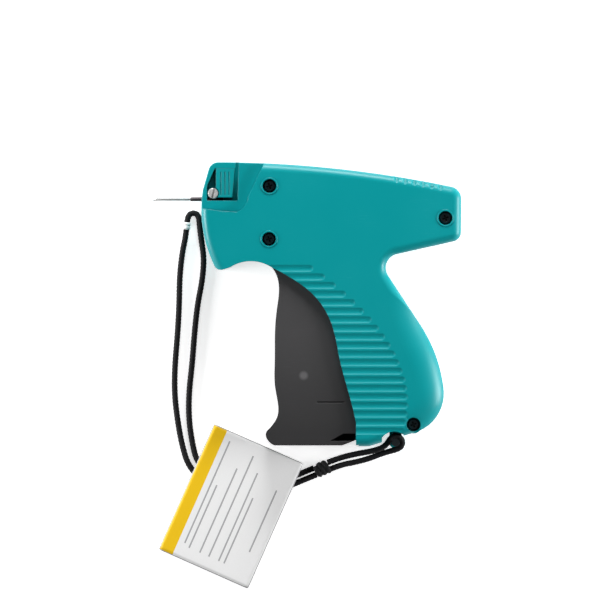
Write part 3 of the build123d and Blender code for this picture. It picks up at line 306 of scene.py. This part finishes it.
def moulded_plastic(name, base, grain, rough, spread, depth):
    """Plastic from an etched mould: fine grain, faint flow marks, hairline scratches, painted shade in the
    corners.
    """
    surface = Surface(name)
    place = surface.place()
    flow = surface.noise(place, scale=22.0, detail=4.0)
    hair_lines = surface.stretched(place, (150.0, 3600.0, 3600.0), turn=0.6)
    hairs = surface.ranged(surface.noise(hair_lines, scale=1.0, detail=1.0), 0.66, 0.72)
    handled = surface.ranged(surface.noise(place, scale=45.0, detail=2.0), 0.5, 0.68)
    scratched = surface.times(hairs, handled)
    # painted shade: darkens the colour deep in corners, grooves and slots
    painted_corner_shade = surface.times(surface.corner_shade(1.6 * MM), 0.5)
    tint = surface.painted(scaled(base, 1.0 - spread), flow, scaled(base, 1.0 + spread))
    tint = surface.painted(tint, surface.times(scratched, 0.35), scaled(base, 1.15, lift=0.03))
    tint = surface.painted(tint, painted_corner_shade, scaled(base, 0.35))
    gloss = surface.ranged(flow, 0.25, 0.75, to_low=rough - 0.05, to_high=rough + 0.06)
    gloss = surface.plus(gloss, surface.times(scratched, -0.06))
    grains = surface.noise(place, scale=1.0 / grain, detail=3.0, roughness=0.6)
    relief = surface.relief(grains, strength=depth, distance=grain * 0.25, rounding=0.35 * MM)
    surface.finish(relief, tint, gloss)
    surface.give({"Specular IOR Level": 0.3})
    return surface


def trigger_plastic(name, look):
    """Grey plastic with painted shade that darkens it towards the foot, and a pale round spot on its side."""
    surface = moulded_plastic(name, look.trigger, look.grain, rough=0.42, spread=0.1, depth=0.35)
    place = surface.place()
    height = surface.add("ShaderNodeSeparateXYZ", {"Vector": place}).outputs["Y"]
    # painted shade, darker towards the trigger's foot
    painted_foot_shade = surface.ranged(height, FOOT_SHADE_FROM, FOOT_SHADE_FULL, to_low=0.0, to_high=0.6)
    surface.overpaint(painted_foot_shade, scaled(look.trigger, 0.3))
    # a pale round spot on the trigger's side
    offset = surface.add("ShaderNodeVectorMath", {0: place, 1: PALE_SPOT_AT}, operation="DISTANCE")
    pale_spot = surface.ranged(offset.outputs["Value"], *PALE_SPOT_R, to_low=0.5, to_high=0.0)
    surface.overpaint(pale_spot, scaled(look.trigger, 3.2))
    return surface


def steel(name, base, rough, drawn, slot_shade_strength=0.85, metallic=1.0):
    """Steel with faint stains, painted shade in its slots and fine marks; drawn is how many of them there are
    per metre.
    """
    surface = Surface(name)
    place = surface.place()
    marks = surface.noise(surface.stretched(place, drawn), scale=1.0, detail=5.0, roughness=0.7)
    stain = surface.noise(place, scale=260.0, detail=3.0)
    # painted shade deep in slots and corners, as strong as the given share
    painted_slot_shade = surface.times(surface.corner_shade(1.4 * MM), slot_shade_strength)
    tint = surface.painted(scaled(base, 0.88), stain, scaled(base, 1.12))
    tint = surface.painted(tint, painted_slot_shade, scaled(base, 0.08))
    relief = surface.relief(marks, strength=0.25, distance=0.02 * MM, rounding=0.12 * MM)
    surface.finish(relief, tint, surface.ranged(marks, 0.3, 0.7, to_low=rough - 0.06, to_high=rough + 0.1))
    surface.give({"Metallic": metallic})
    return surface


def needle_steel(name, look):
    """Bright satin needle with a painted dark reflection on its shank by the nose."""
    surface = steel(name, look.needle, rough=0.5, drawn=(180.0, 6000.0, 6000.0), slot_shade_strength=0.2, metallic=0.1)
    at = surface.add("ShaderNodeSeparateXYZ", {"Vector": surface.place()}).outputs["X"]
    # paints the dark reflection on the shank
    surface.overpaint(surface.ranged(at, SHANK_FROM - SHANK_BLEND, SHANK_FROM + SHANK_BLEND), look.shank)
    return surface


def braided_cord(name, base):
    """Matte yarn: each strand shows its twisted threads and a little dust, with painted shade between the
    strands.
    """
    surface = Surface(name)
    threads = surface.stretched(surface.place("UV"), (60.0, 2600.0, 1.0))
    yarn = surface.noise(threads, scale=1.0, detail=2.0)
    lint = surface.noise(surface.place(), scale=900.0, detail=4.0)
    tint = surface.painted(scaled(base, 0.55), lint, scaled(base, 1.9))
    # painted shade in the creases between the strands
    tint = surface.painted(tint, surface.corner_shade(0.5 * MM), scaled(base, 0.3))
    relief = surface.relief(yarn, strength=0.6, distance=0.1 * MM)
    surface.finish(relief, tint, surface.ranged(yarn, 0.3, 0.7, to_low=0.62, to_high=0.85))
    surface.give({"Specular IOR Level": 0.25, "Sheen Weight": 0.04, "Sheen Roughness": 0.4})
    return surface


def card_stock(name, look):
    """Coated card: paper fibre, a yellow band along one side, a thin grey line along its edges and plain
    ruled lines.
    """
    surface = Surface(name)
    place = surface.add("ShaderNodeSeparateXYZ", {"Vector": surface.place("UV")})
    across, along = place.outputs["X"], place.outputs["Y"]
    fibre = surface.noise(surface.place(), scale=1500.0, detail=4.0)
    worn = surface.ranged(surface.noise(surface.place(), scale=60.0, detail=3.0), 0.6, 0.8, to_high=0.06)
    tint = surface.painted(scaled(look.paper, 0.97), fibre, scaled(look.paper, 1.03))
    tint = surface.painted(tint, surface.worked("LESS_THAN", across, look.band_width / look.width), look.band)
    tint = surface.painted(tint, worn, scaled(look.paper, 0.6))
    half = look.rule_width / look.width / 2
    for at, start, stop in CARD_RULES:
        rule = surface.times(surface.between(across, at - half, at + half),
                             surface.between(along, start, stop))
        tint = surface.painted(tint, rule, look.ink)
    # a thin grey line along the card's edges
    side, end = look.edge_line_width / look.width, look.edge_line_width / look.length
    inside = surface.times(surface.between(across, side, 1.0 - side), surface.between(along, end, 1.0 - end))
    tint = surface.painted(look.ink, inside, tint)
    relief = surface.relief(fibre, strength=0.15, distance=0.03 * MM)
    surface.finish(relief, tint, surface.ranged(fibre, 0.3, 0.7, to_low=0.4, to_high=0.55))
    return surface


def glowing_floor(name, look):
    """Matte floor that adds a light of its own where the camera sees it, also in or through a piece."""
    surface = Surface(name)
    surface.give({"Base Color": look.floor, "Roughness": 0.9})
    rays = surface.add("ShaderNodeLightPath").outputs
    seen = surface.plus(rays["Is Camera Ray"], rays["Is Glossy Ray"])
    seen = surface.plus(seen, rays["Is Transmission Ray"])
    glow = surface.add("ShaderNodeEmission", {"Strength": surface.times(seen, look.glow)})
    both = surface.add("ShaderNodeAddShader", {0: surface.shader.outputs[0], 1: glow.outputs[0]})
    surface.tree.links.new(both.outputs[0], surface.tree.nodes["Material Output"].inputs["Surface"])
    return surface


# ================================================================ pieces
def mesh_object(name, mesh, surface, body, node):
    """A detailed piece on a body, in the place of a node of the solid model."""
    piece = bpy.data.objects.new(name, mesh)
    bpy.context.scene.collection.objects.link(piece)
    mesh.materials.append(surface.material)
    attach(piece, body)
    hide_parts(node)
    return piece


def dress(nodes, surface):
    """Gives carried-over solids their material."""
    for node in nodes:
        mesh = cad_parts[node].data
        mesh.materials.clear()
        mesh.materials.append(surface.material)


def smooth_line(points, name):
    """Points of a smooth curve that has the route's points as its control points."""
    curve = bpy.data.curves.new(name, "CURVE")
    curve.dimensions = "3D"
    curve.resolution_u = 16
    line = curve.splines.new("NURBS")
    line.points.add(len(points) - 1)
    for point, at in zip(line.points, points):
        point.co = (*at, 1.0)
    line.order_u = 3
    line.use_endpoint_u = True
    holder = bpy.data.objects.new(name, curve)
    bpy.context.scene.collection.objects.link(holder)
    bpy.context.view_layer.update()
    mesh = bpy.data.meshes.new_from_object(holder)
    found = [vertex.co.copy() for vertex in mesh.vertices]
    bpy.data.meshes.remove(mesh)
    bpy.data.objects.remove(holder)
    bpy.data.curves.remove(curve)
    return found


def evenly(points):
    """The same line with its points the cords' spacing apart."""
    reach = [0.0]
    for before, after in zip(points, points[1:]):
        reach.append(reach[-1] + (after - before).length)
    count = max(2, round(reach[-1] / CORD_SPACING))
    even = []
    index = 0
    for step in range(count + 1):
        goal = reach[-1] * step / count
        while index < len(points) - 2 and reach[index + 1] < goal:
            index += 1
        share = (goal - reach[index]) / max(reach[index + 1] - reach[index], 1e-9)
        even.append(points[index].lerp(points[index + 1], min(1.0, max(0.0, share))))
    return even


def along_frames(points):
    """A pair of side directions at each point, turned as little as possible along the line."""
    frames = []
    ahead = (points[1] - points[0]).normalized()
    side = ahead.orthogonal().normalized()
    last = len(points) - 1
    for index in range(len(points)):
        turned_ahead = (points[min(last, index + 1)] - points[max(0, index - 1)]).normalized()
        side = ahead.rotation_difference(turned_ahead) @ side
        ahead = turned_ahead
        side = (side - ahead * side.dot(ahead)).normalized()
        frames.append((side, ahead.cross(side)))
    return frames


def ring_round(middle, side, up, radii):
    """Points round a middle at even angles, each at its own radius."""
    ring = []
    for turn, radius in enumerate(radii):
        angle = math.tau * turn / len(radii)
        ring.append(middle + (side * math.cos(angle) + up * math.sin(angle)) * radius)
    return ring


def closed_tube(name, rings, reaches):
    """Tube with flat ends through the rings; its UV map is the share round it and the reach along it."""
    mesh = bpy.data.meshes.new(name)
    shape = bmesh.new()
    uv = shape.loops.layers.uv.new("UVMap")
    facets = len(rings[0])
    circles = [[shape.verts.new(point) for point in ring] for ring in rings]
    for index, (near, far) in enumerate(zip(circles, circles[1:])):
        for turn in range(facets):
            after = (turn + 1) % facets
            face = shape.faces.new((near[turn], near[after], far[after], far[turn]))
            face.smooth = True
            corners = ((turn, index), (turn + 1, index), (turn + 1, index + 1), (turn, index + 1))
            for loop, (column, row) in zip(face.loops, corners):
                loop[uv].uv = (column / facets, reaches[row])
    shape.faces.new(list(reversed(circles[0])))
    shape.faces.new(circles[-1])
    bmesh.ops.recalc_face_normals(shape, faces=shape.faces)
    shape.to_mesh(mesh)
    shape.free()
    return mesh


def braid_radii(reach, look):
    """Radii round the braid at one place along it, larger where a strand crosses over."""
    run = math.tau * reach / look.pitch
    radii = []
    for turn in range(CORD_FACETS):
        angle = math.tau * turn / CORD_FACETS
        over = max(math.cos(look.strands * (angle + run)), math.cos(look.strands * (angle - run)))
        radii.append(CORD_DIAMETER / 2 - look.relief * (1.0 - over) / 2)
    return radii


def braid_tube(name, points, look):
    """Closed tube of braid along the points."""
    rings = []
    reaches = []
    reach = 0.0
    before = points[0]
    for at, (side, up) in zip(points, along_frames(points)):
        reach += (at - before).length
        before = at
        reaches.append(reach)
        rings.append(ring_round(at, side, up, braid_radii(reach, look)))
    return closed_tube(name, rings, reaches)


# ================================================================ routes
def in_metres(points):
    """Points in millimetres, those without a height lying on the floor."""
    return [Vector(point) * MM if len(point) == 3 else Vector((*[part * MM for part in point], CORD_HEIGHT))
            for point in points]


def knot_turn(size):
    """The knot's heading as a matrix of that many rows."""
    return Matrix.Rotation(math.radians(KNOT_HEADING), size, "Z")


def knot_end(along, aside, up):
    """A place on an end face of the knot."""
    offset = Vector((along * KNOT_SIZE[0] / 2, aside * STRAND_OFFSET, up))
    return (Vector(KNOT_AT) + knot_turn(3) @ offset) * MM


def knot_outward(along):
    """Direction out of an end face of the knot."""
    return knot_turn(3) @ Vector((along, 0.0, 0.0))


def joiner_point(along):
    """A place on the joiner's middle line, in millimetres from its left end."""
    turn = math.radians(JOINER_HEADING)
    return Vector((JOINER_FROM[0] + along * math.cos(turn), JOINER_FROM[1] + along * math.sin(turn),
                   JOINER_FROM[2])) * MM


def neck_route():
    """Out of the knot, round the pin and back into the knot."""
    first, last = knot_end(-1, -1, 0.0), knot_end(-1, 1, 0.0)
    step = knot_outward(-1) * NECK_LEAD * MM
    around = []
    for angle, height in PIN_TURNS:
        turn = math.radians(angle)
        around.append((PIN_AT[0] + PIN_LOOP_R * math.cos(turn), PIN_AT[1] + PIN_LOOP_R * math.sin(turn),
                       height))
    return [first, first + step] + in_metres(NECK_ROUTE + around + NECK_RETURN) + [last + step, last]


def left_route():
    """Out of the knot, under the card and up to the joiner's left end."""
    at = knot_end(1, 1, STRAND_LOW)
    clear = at + knot_outward(1) * STRAND_LEAD * MM
    return [at, clear] + in_metres(LOOP_LEFT) + [joiner_point(-JOINER_LEAD_LEFT), joiner_point(0)]


def right_route():
    """Out of the knot, under the card and round the top into the joiner's right end."""
    at = knot_end(1, -1, STRAND_LOW)
    clear = at + knot_outward(1) * STRAND_LEAD * MM
    top = [joiner_point(JOINER_LENGTH), joiner_point(JOINER_LENGTH + JOINER_LEAD_RIGHT)]
    return list(reversed(top + in_metres(LOOP_TOP + LOOP_RIGHT) + [clear, at]))


# ================================================================ operators
class DressCase(Operator):
    """Moulded plastic on the case halves, the housing, the trigger and the parts inside"""

    bl_idname = "tag_attacher.dress_case"
    bl_label = "Dress case"

    def execute(self, context):
        look = settings().case
        shell = moulded_plastic("shell_plastic", look.shell, look.grain, rough=0.36, spread=0.05, depth=0.25)
        nylon = moulded_plastic("inner_nylon", look.inside, look.grain, rough=0.5, spread=0.05, depth=0.15)
        dress(("left_shell", "right_shell", "needle_housing"), shell)
        dress(("trigger",), trigger_plastic("trigger_plastic", look))
        dress(("drive_lever", "ejector_slide", "needle_hub", "feed_wheel", "feed_pawl"), nylon)
        return {"FINISHED"}


class DressMetal(Operator):
    """Steel on the screws, pins, springs, rod, knife and needle"""

    bl_idname = "tag_attacher.dress_metal"
    bl_label = "Dress metal"

    def execute(self, context):
        look = settings().metal
        dark = steel("black_steel", look.dark, rough=0.38, drawn=(3000.0, 3000.0, 200.0))
        bright = steel("nickel_plate", look.bright, rough=0.28, drawn=(5200.0, 5200.0, 300.0), metallic=0.6)
        ground = steel("ground_steel", look.needle, rough=0.35, drawn=(180.0, 6000.0, 6000.0))
        wire = steel("spring_wire", look.wire, rough=0.32, drawn=(2000.0, 2000.0, 2000.0))
        dress(("needle",), needle_steel("needle_steel", look))
        dress(("knife",), ground)
        dress(("case_screws", "strap_pin"), dark)
        dress(("needle_lock_screw", "lever_pin", "cross_pin", "rod_screw", "feed_wheel_axle"), bright)
        dress(("return_spring", "ejector_rod", "detent_spring"), wire)
        return {"FINISHED"}


class BuildStrap(Operator):
    """Braided strap: the neck round its pin, the knot, the two long strands and the sleeve"""

    bl_idname = "tag_attacher.build_strap"
    bl_label = "Build strap"

    def execute(self, context):
        look = settings().strap
        black = braided_cord("black_braid", look.cord)
        white = moulded_plastic("white_sleeve", look.sleeve, look.sleeve_grain, rough=0.45, spread=0.03,
                                depth=0.2)
        knot = self.knot(black, look)
        sleeve = self.sleeve(white)
        for name, route, node, far_end, pieces in (
                ("strap_neck_braid", neck_route(), "strap_neck", "knot", [knot]),
                ("strap_left_braid", left_route(), "strap_loop_left", "fitting", [sleeve]),
                ("strap_right_braid", right_route(), "strap_loop_right", "fitting", [sleeve])):
            line = evenly(smooth_line(route, name))
            piece = mesh_object(name, braid_tube(name, line, look), black, "case", node)
        return {"FINISHED"}

    def knot(self, surface, look):
        """Turns of cord pulled tight round the strands."""
        cord = CORD_DIAMETER / MM
        reach = KNOT_SIZE[0] - cord + KNOT_GRIP
        inner_y, inner_z = (KNOT_SIZE[1] - cord) / 2, (KNOT_SIZE[2] - cord) / 2
        place = Matrix.Translation(Vector(KNOT_AT) * MM) @ knot_turn(4)
        points = []
        for step in range(KNOT_STEPS + 1):
            share = step / KNOT_STEPS
            turn = math.tau * KNOT_TURNS * share
            at = Vector(((share - 0.5) * reach, inner_y * math.cos(turn), inner_z * math.sin(turn)))
            points.append(place @ (at * MM))
        mesh = braid_tube("strap_knot_braid", evenly(points), look)
        knot = mesh_object("strap_knot_braid", mesh, surface, "case", "strap_knot")
        return knot

    def sleeve(self, surface):
        """Short tube with a crimp round its middle and rolled ends."""
        ahead = (joiner_point(JOINER_LENGTH) - joiner_point(0)).normalized()
        side = ahead.orthogonal().normalized()
        up = ahead.cross(side)
        rings = []
        for share, width in SLEEVE_PROFILE:
            middle = joiner_point(JOINER_LENGTH * share)
            rings.append(ring_round(middle, side, up, [JOINER_R * width * MM] * SLEEVE_FACETS))
        reaches = [JOINER_LENGTH * share * MM for share, width in SLEEVE_PROFILE]
        mesh = closed_tube("strap_sleeve", rings, reaches)
        sleeve = mesh_object("strap_sleeve", mesh, surface, "case", "strap_joiner")
        return sleeve


class BuildCard(Operator):
    """Coated card with rounded corners that lies on the strap"""

    bl_idname = "tag_attacher.build_card"
    bl_label = "Build card"

    def execute(self, context):
        look = settings().card
        surface = card_stock("coated_card", look)
        card = mesh_object("card_sheet", self.sheet("card_sheet", look), surface, "case", "hang_card")
        solid = card.modifiers.new("thickness", "SOLIDIFY")
        solid.thickness = look.thickness
        solid.offset = 1.0
        return {"FINISHED"}

    def place(self, look):
        """The card's place: turned, with one end lifted and the other on the floor."""
        low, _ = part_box("hang_card")
        rise = look.length / 2 * math.sin(CARD_TILT)
        return (Matrix.Translation(CARD_MIDDLE + Vector((0, 0, low.z + rise)))
                @ Matrix.Rotation(CARD_TURN, 4, "Z") @ Matrix.Rotation(CARD_TILT, 4, "X"))

    def rounded(self, x, y, look):
        """The point itself, or the nearest one on the round of the corner that it lies beyond."""
        straight_x, straight_y = look.width / 2 - look.corner, look.length / 2 - look.corner
        over_x, over_y = abs(x) - straight_x, abs(y) - straight_y
        if over_x > 0 and over_y > 0:
            pull = look.corner / max(look.corner, math.hypot(over_x, over_y))
            x = math.copysign(straight_x + over_x * pull, x)
            y = math.copysign(straight_y + over_y * pull, y)
        return Vector((x, y, 0.0))

    def sheet(self, name, look):
        """Mesh of the card's lower face, its UV map running from 0 to 1 both ways."""
        mesh = bpy.data.meshes.new(name)
        shape = bmesh.new()
        uv = shape.loops.layers.uv.new("UVMap")
        place = self.place(look)
        grid = []
        for row in range(CARD_ROWS + 1):
            y = (row / CARD_ROWS - 0.5) * look.length
            line = []
            for column in range(CARD_COLUMNS + 1):
                x = (column / CARD_COLUMNS - 0.5) * look.width
                line.append(shape.verts.new(place @ self.rounded(x, y, look)))
            grid.append(line)
        for row in range(CARD_ROWS):
            for column in range(CARD_COLUMNS):
                corners = ((row, column), (row, column + 1), (row + 1, column + 1), (row + 1, column))
                face = shape.faces.new([grid[at_row][at_column] for at_row, at_column in corners])
                face.smooth = True
                for loop, (at_row, at_column) in zip(face.loops, corners):
                    loop[uv].uv = (at_column / CARD_COLUMNS, at_row / CARD_ROWS)
        shape.to_mesh(mesh)
        shape.free()
        return mesh


class BuildStage(Operator):
    """Pale floor, soft lamps and the camera straight above"""

    bl_idname = "tag_attacher.build_stage"
    bl_label = "Build stage"

    def execute(self, context):
        look = settings().stage
        self.floor(look)
        self.world(look)
        for key, at in LAMPS:
            self.lamp(f"{key}_lamp", at, getattr(look, key))
        self.camera()
        bpy.context.scene.view_settings.view_transform = "Standard"
        return {"FINISHED"}

    def camera(self):
        """Looks straight down, with no perspective."""
        view = bpy.data.cameras.new("top_camera")
        view.type = "ORTHO"
        view.ortho_scale = VIEW_WIDTH
        holder = bpy.data.objects.new("top_camera", view)
        bpy.context.scene.collection.objects.link(holder)
        holder.location = VIEW_MIDDLE + Vector((0.0, 0.0, CAMERA_HEIGHT))
        bpy.context.scene.camera = holder

    def floor(self, look):
        """Square floor that reaches past every view."""
        mesh = bpy.data.meshes.new("floor")
        corners = [(FLOOR_HALF * x, FLOOR_HALF * y, 0.0) for x, y in ((-1, -1), (1, -1), (1, 1), (-1, 1))]
        mesh.from_pydata(corners, [], [(0, 1, 2, 3)])
        mesh.materials.append(glowing_floor("pale_floor", look).material)
        floor = bpy.data.objects.new("floor", mesh)
        bpy.context.scene.collection.objects.link(floor)

    def world(self, look):
        """Bright near the horizon and dim straight above, as in a tent with an opening, and white behind."""
        world = bpy.data.worlds.new("light_tent")
        world.use_nodes = True
        tree = world.node_tree
        ray = add_node(tree, "ShaderNodeTexCoord").outputs["Generated"]
        height = add_node(tree, "ShaderNodeSeparateXYZ", {"Vector": ray}).outputs["Z"]
        fade = add_node(tree, "ShaderNodeMapRange",
                        {"Value": height, "From Min": FADE_FROM, "From Max": FADE_TO, "To Min": look.world,
                         "To Max": look.world * look.zenith})
        behind = add_node(tree, "ShaderNodeLightPath").outputs["Is Camera Ray"]
        strength = add_node(tree, "ShaderNodeMath", {0: fade.outputs[0], 1: behind}, operation="MAXIMUM")
        back = tree.nodes["Background"]
        back.inputs["Color"].default_value = WHITE
        tree.links.new(strength.outputs[0], back.inputs["Strength"])
        bpy.context.scene.world = world

    def lamp(self, name, at, strength):
        """Square lamp that shines on the middle of the view."""
        light = bpy.data.lights.new(name, "AREA")
        light.energy = strength
        light.size = LAMP_SIZE
        holder = bpy.data.objects.new(name, light)
        bpy.context.scene.collection.objects.link(holder)
        holder.location = at
        holder.rotation_mode = "QUATERNION"
        holder.rotation_quaternion = (VIEW_MIDDLE - Vector(at)).to_track_quat("-Z", "Y")


class AttacherPanel(Panel):
    """Lists the steps that dress the tag attacher"""

    bl_idname = "VIEW3D_PT_tag_attacher"
    bl_label = "Tag attacher"
    bl_space_type = "VIEW_3D"
    bl_region_type = "UI"
    bl_category = "Tag attacher"

    def draw(self, context):
        look = context.scene.tag_attacher
        for step, group in zip(STEPS, (look.case, look.metal, look.strap, look.card, look.stage)):
            self.layout.operator(step.bl_idname)
            for key in group.bl_rna.properties.keys():
                if key not in {"rna_type", "name"}:
                    self.layout.prop(group, key)


STEPS = (DressCase, DressMetal, BuildStrap, BuildCard, BuildStage)
GROUPS = (CaseSettings, MetalSettings, StrapSettings, CardSettings, StageSettings, AttacherSettings)


def register():
    """Makes the settings, the steps and the panel known."""
    for each in (*GROUPS, *STEPS, AttacherPanel):
        bpy.utils.register_class(each)
    bpy.types.Scene.tag_attacher = PointerProperty(type=AttacherSettings)


def unregister():
    """Takes them away again."""
    del bpy.types.Scene.tag_attacher
    for each in reversed((*GROUPS, *STEPS, AttacherPanel)):
        bpy.utils.unregister_class(each)


def main():
    """Runs every step in order."""
    register()
    for step in STEPS:
        group, name = step.bl_idname.split(".")
        getattr(getattr(bpy.ops, group), name)()


if __name__ == "__main__":
    main()
